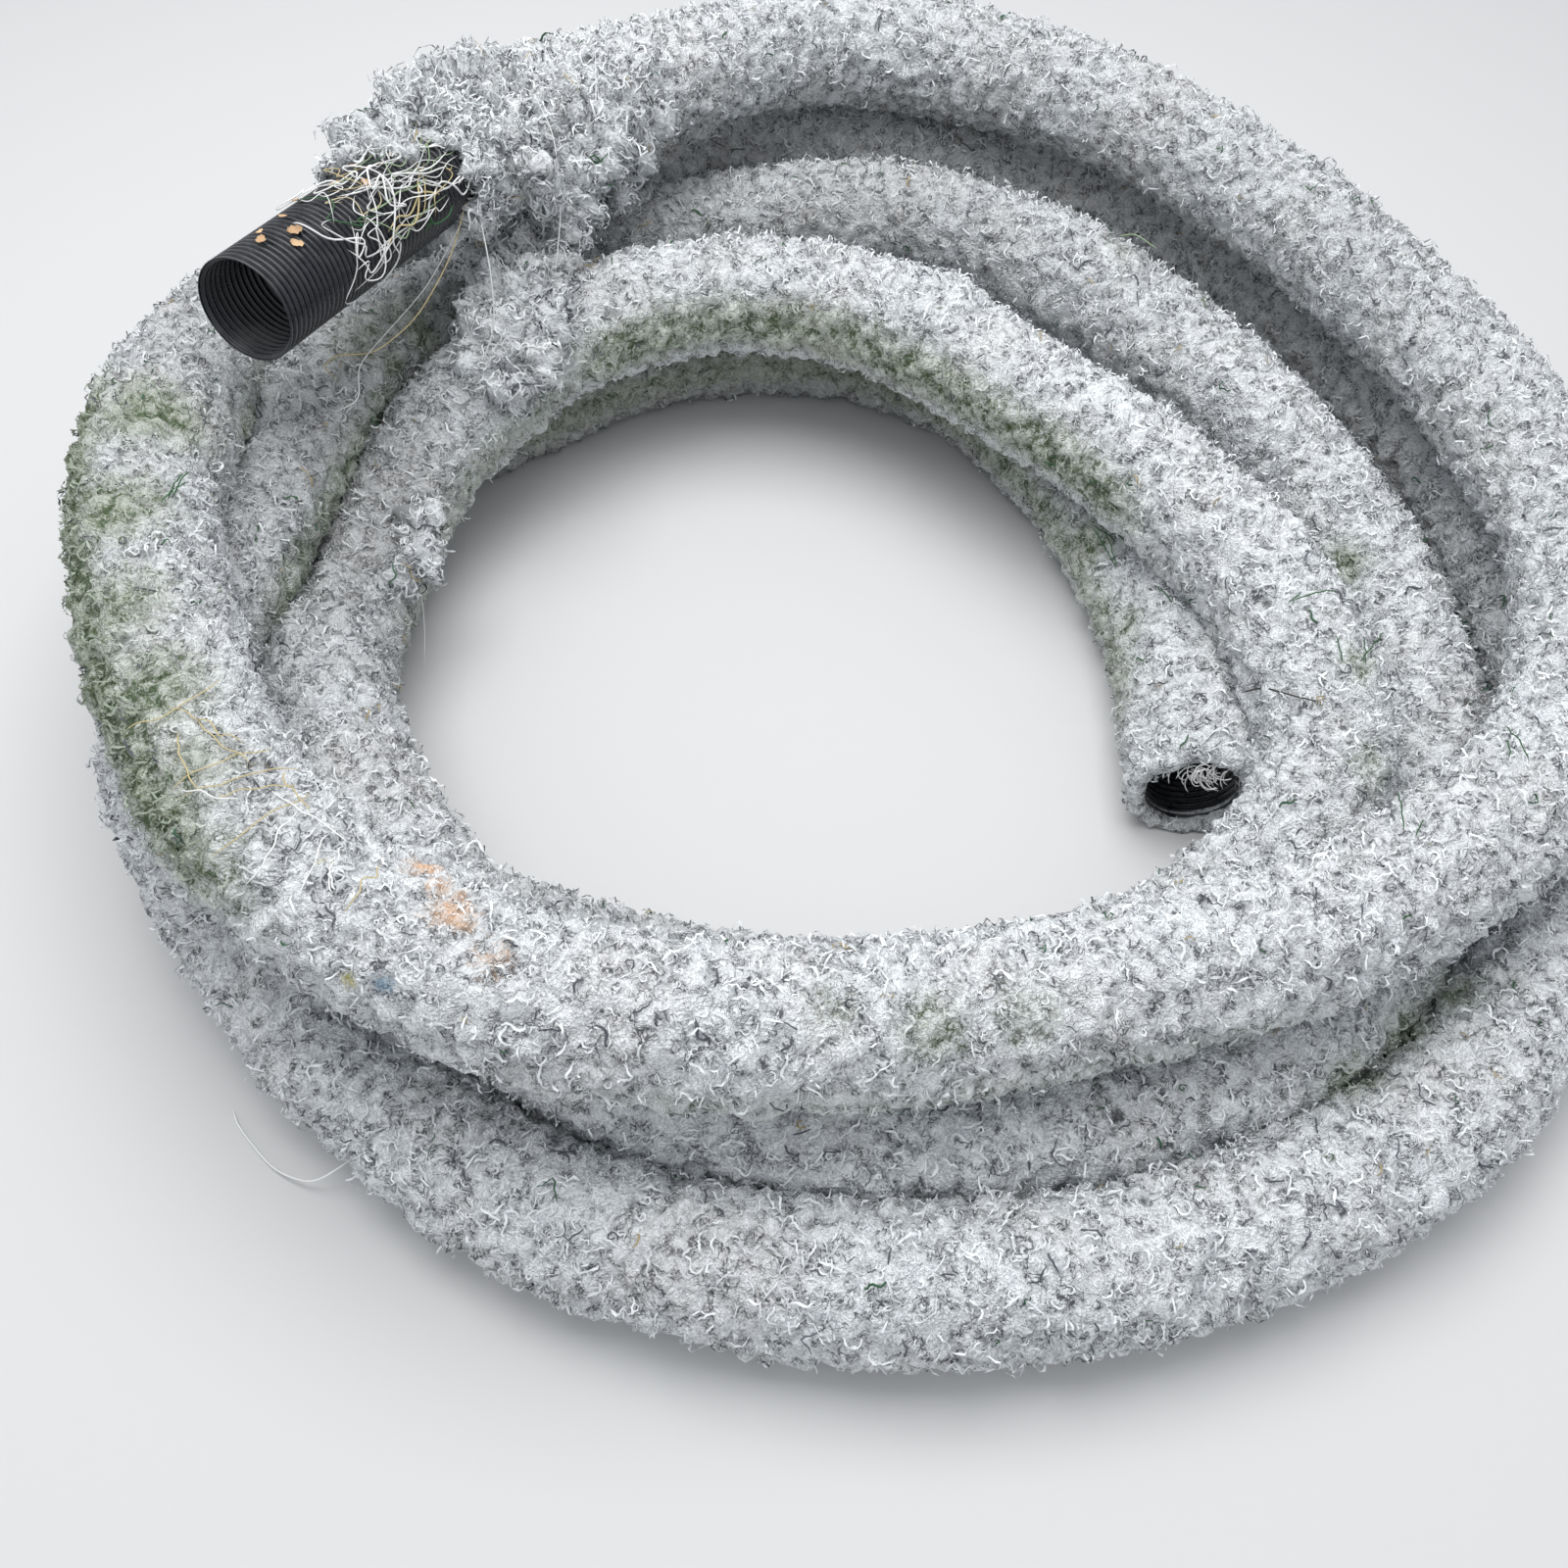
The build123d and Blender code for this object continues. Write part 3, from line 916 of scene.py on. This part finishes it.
def ribbed_rings(length, radius):
    """Distances and radii of the rings of a ribbed wall from a cut end."""
    ribs = int(length / RIB_PITCH)
    along = (np.arange(ribs)[:, None] * RIB_PITCH + rib_ends[None]).ravel()
    return along, radius + np.tile(rib_heights, ribs)


def pipe_skin(tip, direction, outside):
    """A stretch of pipe from a cut end: ribbed outside as far as it shows, and ribbed inside."""
    out_along, out_radii = ribbed_rings(outside, PIPE_RADIUS)
    in_along, in_radii = ribbed_rings(PIPE_VIEW_IN, PIPE_RADIUS - PIPE_WALL)
    along = tip + direction * np.r_[in_along[::-1], out_along]
    points, outward = rings_along(along, np.r_[in_radii[::-1], out_radii], PIPE_SIDES)
    faces = ring_faces(len(along), PIPE_SIDES)
    return points.reshape(-1, 3), faces if direction > 0 else faces[:, ::-1]


def black_pipe():
    """Glossy black plastic, dusty on what faces up, with fine scuffs."""
    tree, shader, finish = finish_of("black_pipe", IOR=1.5, Coat_Weight=0.3, Coat_Roughness=0.18)
    place = tree.add("ShaderNodeTexCoord", output=3)
    normal = tree.add("ShaderNodeNewGeometry", output=1)
    upness = tree.add("ShaderNodeSeparateXYZ", {0: normal}, output=2).ramp(-0.1, 0.9)
    dust = ((noise(tree, place, 38.0, 4.0, 0.6) - 0.32) * upness).ramp(0.05, 0.5)
    scuff = noise(tree, place, 140.0, 3.0, 0.65).ramp(0.45, 0.75)
    colour = tree.blend(dust * 0.32 + scuff * 0.08, PIPE_BLACK, PIPE_DUST)
    tree.put(shader.inputs["Base Color"], colour)
    tree.put(shader.inputs["Roughness"], 0.27 + dust * 0.4 + scuff * 0.15)
    bump = {"Strength": 0.25, "Distance": 0.0006, "Height": noise(tree, place, 300.0, 3.0)}
    tree.put(shader.inputs["Normal"], tree.add("ShaderNodeBump", bump))
    return finish


bare_skin = pipe_skin(0.0, 1, ENVELOPE_START + PIPE_UNDER_FELT)
mouth_skin = pipe_skin(cover_end - MOUTH_SETBACK, -1, PIPE_UNDER_FELT)
pipe = mesh_piece("pipe", *joined([bare_skin, mouth_skin]), black_pipe())
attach(pipe, "root")
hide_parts("drain_pipe")


# Loose threads and litter. Yarn and fibre pulled from the torn end lie tangled over the bare
# pipe and hang from it, pale curls hang over the mouth's upper edge, and blades of grass and
# dry wisps are caught in the felt.

STRINGS = [
    # shade and radius of each long thread, and where it runs
    (0.66, 0.0010, [
        (-0.540, 0.330, 0.450), (-0.560, 0.270, 0.395), (-0.600, 0.200, 0.350), (-0.650, 0.150, 0.330),
        (-0.690, 0.130, 0.345), (-0.700, 0.095, 0.352), (-0.680, 0.080, 0.345),
    ]),
    (0.20, 0.0009, [
        (-0.545, 0.300, 0.430), (-0.590, 0.240, 0.370), (-0.640, 0.190, 0.335), (-0.665, 0.120, 0.335),
        (-0.650, 0.060, 0.330), (-0.675, 0.030, 0.335),
    ]),
    (0.10, 0.0010, [
        (-0.520, 0.290, 0.440), (-0.505, 0.240, 0.400), (-0.500, 0.200, 0.345), (-0.520, 0.170, 0.300),
    ]),
    (0.30, 0.0008, [
        (-0.470, 0.480, 0.505), (-0.440, 0.440, 0.470), (-0.430, 0.380, 0.400), (-0.440, 0.330, 0.330),
    ]),
    (0.40, 0.0008, [
        (-0.400, 0.600, 0.500), (-0.395, 0.540, 0.470), (-0.400, 0.480, 0.400), (-0.420, 0.450, 0.330),
    ]),
    (0.45, 0.0012, [
        (-0.540, -0.815, 0.060), (-0.590, -0.830, 0.018), (-0.640, -0.810, 0.004),
        (-0.690, -0.760, 0.003), (-0.700, -0.740, 0.004),
    ]),
    (0.30, 0.0008, [
        (-0.600, -0.010, 0.175), (-0.590, -0.050, 0.140), (-0.585, -0.090, 0.080), (-0.590, -0.120, 0.030),
    ]),
    (0.40, 0.0007, [(-0.605, -0.030, 0.170), (-0.600, -0.080, 0.120), (-0.605, -0.110, 0.060)]),
    (0.97, 0.0012, [
        (0.440, -0.230, 0.170), (0.455, -0.250, 0.205), (0.480, -0.290, 0.235), (0.500, -0.310, 0.250),
    ]),
    (0.80, 0.0010, [(0.350, 0.545, 0.280), (0.370, 0.530, 0.295), (0.400, 0.510, 0.285)]),
]
STRING_POINTS = 6
NEARLY_UPRIGHT = (0.03, 0.02, 1)  # so that no hanging thread runs along it
THREAD_SEED = 77
PIPE_THREADS = 58
PIPE_THREAD_BENDS = 7
TANGLED = {
    # every third thread over the bare pipe; the others come from the felt
    "starts": (0.15, 0.27), "reaches": (0.02, 0.07), "wander": 0.018, "turning": 0.32, "loft": 0.006,
}
FROM_FELT = {
    "starts": (0.30, 0.42), "reaches": (0.06, 0.20), "wander": 0.008, "turning": 0.16, "loft": 0.004,
}
THREAD_SEAT = 0.0628
THREAD_LEAST_HEIGHT = 0.0012
DRY_WISPS = 15
WISP_POINTS = 7
WISP_RISE = 0.010
WISP_DROOP = 3.0
DRY_PLACES = [
    (-0.665, -0.563, 0.438), (-0.620, -0.610, 0.436), (-0.570, -0.660, 0.428), (-0.524, -0.688, 0.420),
]
GRASS = [
    # foot of each tuft of blades, the way it points, and its blades
    ((0.225, 0.115, 0.225), (0.8, -0.4, 0.35), 11), ((0.300, 0.070, 0.150), (0.5, -0.8, 0.3), 5),
    ((0.410, -0.100, 0.245), (0.7, 0.2, 0.4), 4), ((0.480, -0.180, 0.270), (0.6, 0.5, 0.2), 4),
    ((-0.771, -0.252, 0.445), (0.1, 0.9, 0.3), 3), ((-0.738, -0.149, 0.290), (0.1, 0.9, 0.4), 2),
    ((0.525, -0.551, 0.333), (0.3, 0.9, 0.3), 2), ((0.656, -0.459, 0.335), (-0.2, 0.9, 0.3), 2),
    ((0.555, -0.248, 0.250), (0.4, 0.7, 0.4), 3), ((0.530, -0.640, 0.120), (0.5, 0.6, 0.5), 4),
    ((-0.600, -0.040, 0.170), (0.5, 0.7, 0.3), 2), ((0.366, -0.034, 0.155), (0.5, -0.6, 0.2), 2),
]
GRASS_POINTS = 9
MOUTH_CURLS = 34
MOUTH_CURL_PLACE = (0.394, -0.316, 0.128)
MOUTH_CURL_SPREAD = (0.012, 0.004, 0.004)
MOUTH_CURL_DROPS = (0.006, 0.020)
MOUTH_CURL_WINDINGS = (3, 7)
MOUTH_CURL_SIZE = 0.006
MOUTH_CURL_POINTS = 9
THREAD_SHADE = (0.62, 0.63, 0.62, 1)
THREAD_PALE = (0.93, 0.93, 0.92, 1)
ODD_THREADS = [
    # shades between which a thread turns straw, pale green, deep green and near black
    (0.55, 0.56, (0.60, 0.50, 0.27, 1)), (0.72, 0.73, (0.30, 0.40, 0.24, 1)),
    (0.84, 0.85, (0.035, 0.12, 0.045, 1)), (0.93, 0.94, (0.05, 0.045, 0.04, 1)),
]


def thread_mesh(way, radius, sides=4):
    """A thin round thread along a way, drawn out to a point at both ends."""
    side, up = sideways_and_up(unit(np.gradient(way, axis=0)), upward=NEARLY_UPRIGHT)
    share = np.linspace(-1, 1, len(way))
    fullness = (radius * np.maximum(1 - share ** 8, 0.05))[:, None, None]
    points = way[:, None] + rings(side, up, sides) * fullness
    return points.reshape(-1, 3), ring_faces(len(way), sides)


def bent(values, count):
    """These values read off evenly at so many places, without corners."""
    values = np.asarray(values, float)
    fine = np.linspace(0, len(values) - 1, count)
    return rounded(read_off(fine, np.arange(len(values)), values), max(1, count // len(values)))


def on_pipe(along, turns, height):
    """Points at these distances along the pipe and turns round it, so high over its ribs."""
    centres, side, up = frames_along(np.clip(along, 0.001, None))
    outward = side * np.cos(turns)[:, None] + up * np.sin(turns)[:, None]
    return centres + outward * (THREAD_SEAT + height)[:, None]


def pipe_thread(starts, reaches, wander, turning, loft):
    """One thread over the bare pipe, from where it starts towards the pipe's end."""
    bends = PIPE_THREAD_BENDS
    start = dice.uniform(*starts)
    reach = dice.uniform(*reaches)
    along = start - reach * np.linspace(0, 1, bends)
    along = along + dice.normal(0, wander, bends)
    turns = np.radians(dice.uniform(5, 95))
    turns = turns + np.cumsum(dice.normal(0, turning, bends))
    height = np.abs(dice.normal(0, loft, bends)) + THREAD_LEAST_HEIGHT
    way = on_pipe(*bent(np.c_[along, turns, height], 30).T)
    return *thread_mesh(way, dice.uniform(0.0006, 0.0013)), dice.uniform(0, 0.92)


def dry_wisp(number):
    """One dry stalk that lies over the top turn in front on the left."""
    place = DRY_PLACES[number % len(DRY_PLACES)] + dice.normal(0, (0.025, 0.025, 0.001))
    heading = dice.uniform(0, 2 * math.pi)
    runs = dice.uniform(0.05, 0.11) / 6 * np.array([math.cos(heading), math.sin(heading), 0])
    way = place + runs * np.linspace(-3, 3, WISP_POINTS)[:, None]
    way = way + dice.normal(0, (0.004, 0.004, 0.0015), (WISP_POINTS, 3))
    way[:, 2] += WISP_RISE - WISP_DROOP * ((way[:, :2] - place[:2]) ** 2).sum(axis=1)
    return *thread_mesh(bent(way, 24), 0.0008), dice.uniform(0.50, 0.72)


def grass_blade(foot, pointing):
    """One blade of grass that droops away from its foot."""
    direction = unit(np.array(pointing) + dice.normal(0, 0.28, 3))
    share = np.linspace(0, 1, GRASS_POINTS)[:, None]
    length = dice.uniform(0.03, 0.07)
    way = foot + dice.normal(0, 0.008, 3) + direction * length * share
    droop = np.array([0, 0, -1]) * length * 0.35 * share ** 2
    way = way + droop + dice.normal(0, 0.0006, (GRASS_POINTS, 3))
    return *thread_mesh(way, 0.0009, 3), dice.uniform(0.85, 0.92)


def mouth_curl():
    """One pale curl that hangs over the upper edge of the mouth."""
    place = np.array(MOUTH_CURL_PLACE) + dice.normal(0, MOUTH_CURL_SPREAD)
    runs = np.array([dice.normal(0, 0.006), -0.002, -dice.uniform(*MOUTH_CURL_DROPS)])
    first_turn = dice.uniform(0, 2 * math.pi)
    turns = first_turn + np.linspace(0, dice.uniform(*MOUTH_CURL_WINDINGS), MOUTH_CURL_POINTS)
    curl = np.stack([np.cos(turns), 0.5 * np.sin(turns), np.sin(turns)], axis=1) * MOUTH_CURL_SIZE
    way = place + runs * np.linspace(0, 1.5, MOUTH_CURL_POINTS)[:, None] + curl
    return *thread_mesh(bent(way, 22), 0.0008), dice.uniform(0.3, 0.5)


def piece_of_many(name, parts, finish):
    """One mesh of many small ones, each with its own shade."""
    piece = mesh_piece(name, *joined(parts), finish)
    shades = [np.full(len(points), shade) for points, faces, shade in parts]
    attribute(piece.data, "shade", np.concatenate(shades))
    rest_on_floor(piece)
    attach(piece, "root")


def loose_thread():
    """Yarn of one colour to a thread: mostly pale, some straw, green or near black."""
    tree, shader, finish = finish_of("loose_threads", Roughness=0.7)
    shade = read(tree, "shade")
    colour = tree.blend(shade.ramp(0.0, 0.5), THREAD_SHADE, THREAD_PALE)
    for low, high, hue in ODD_THREADS:
        colour = tree.blend(shade.ramp(low, high), colour, hue)
    tree.put(shader.inputs["Base Color"], colour)
    return finish


dice = np.random.default_rng(THREAD_SEED)
threads = [
    (*thread_mesh(bent(way, STRING_POINTS * len(way)), radius), shade) for shade, radius, way in STRINGS
]
threads += [pipe_thread(**(FROM_FELT if number % 3 else TANGLED)) for number in range(PIPE_THREADS)]
threads += [dry_wisp(number) for number in range(DRY_WISPS)]
threads += [grass_blade(foot, pointing) for foot, pointing, blades in GRASS for blade in range(blades)]
threads += [mouth_curl() for number in range(MOUTH_CURLS)]
piece_of_many("loose_threads", threads, loose_thread())


# Bits of dead leaf. Small brown curled scraps that have blown on to the bare pipe and stuck
# between its ribs.

LEAF_BITS = [
    # distance along the pipe, turn round it in degrees from its right side, and length
    (0.045, 88, 0.018), (0.070, 62, 0.016), (0.085, 74, 0.020), (0.105, 100, 0.014),
    (0.060, 100, 0.013), (0.150, 112, 0.014), (0.200, 96, 0.018), (0.225, 72, 0.015),
    (0.255, 104, 0.012), (0.300, 84, 0.013),
]
LEAF_HEIGHT = 0.0022
LEAF_ROWS = 7
LEAF_WIDTH = 0.34
LEAF_END_CURL = 0.0035
LEAF_SIDE_CURL = 0.0025
LEAF_BROWN = (0.42, 0.25, 0.13, 1)
LEAF_DRY = (0.70, 0.50, 0.30, 1)


def leaf_bit(along, turn, length):
    """A thin scrap of leaf, ragged at its edges and curled up at its ends and sides."""
    middle = on_pipe(np.array([along]), np.radians([turn]), np.array([LEAF_HEIGHT]))[0]
    centre = frames_along(np.array([along]))[0][0]
    outward = unit(middle - centre)
    heading = unit(np.cross(outward, dice.normal(0, 1, 3)))
    across = np.cross(outward, heading)
    share = np.linspace(-1, 1, LEAF_ROWS)
    half = LEAF_WIDTH * length * (1 - share ** 2) ** 0.6 * dice.uniform(0.6, 1.2, LEAF_ROWS)
    lift = (LEAF_END_CURL * dice.uniform(0, 1) * share ** 2)[:, None]
    spine = middle + heading * share[:, None] * length / 2 + outward * lift
    left, right = spine + across * half[:, None], spine - across * half[:, None]
    rise = outward * LEAF_SIDE_CURL * dice.uniform(0.2, 1.4)
    points = np.stack([left + rise, spine, right + rise * 0.5], axis=1).reshape(-1, 3)
    corners = [3 * row + column for row in range(LEAF_ROWS - 1) for column in (0, 1)]
    faces = [(corner, corner + 1, corner + 4, corner + 3) for corner in corners]
    return points, faces, dice.uniform(0, 1)


def dead_leaf():
    """Brown to straw, one shade to a bit."""
    tree, shader, finish = finish_of("dead_leaf", Roughness=0.75)
    tree.put(shader.inputs["Base Color"], tree.blend(read(tree, "shade"), LEAF_BROWN, LEAF_DRY))
    return finish


piece_of_many("leaf_bits", [leaf_bit(*bit) for bit in LEAF_BITS], dead_leaf())
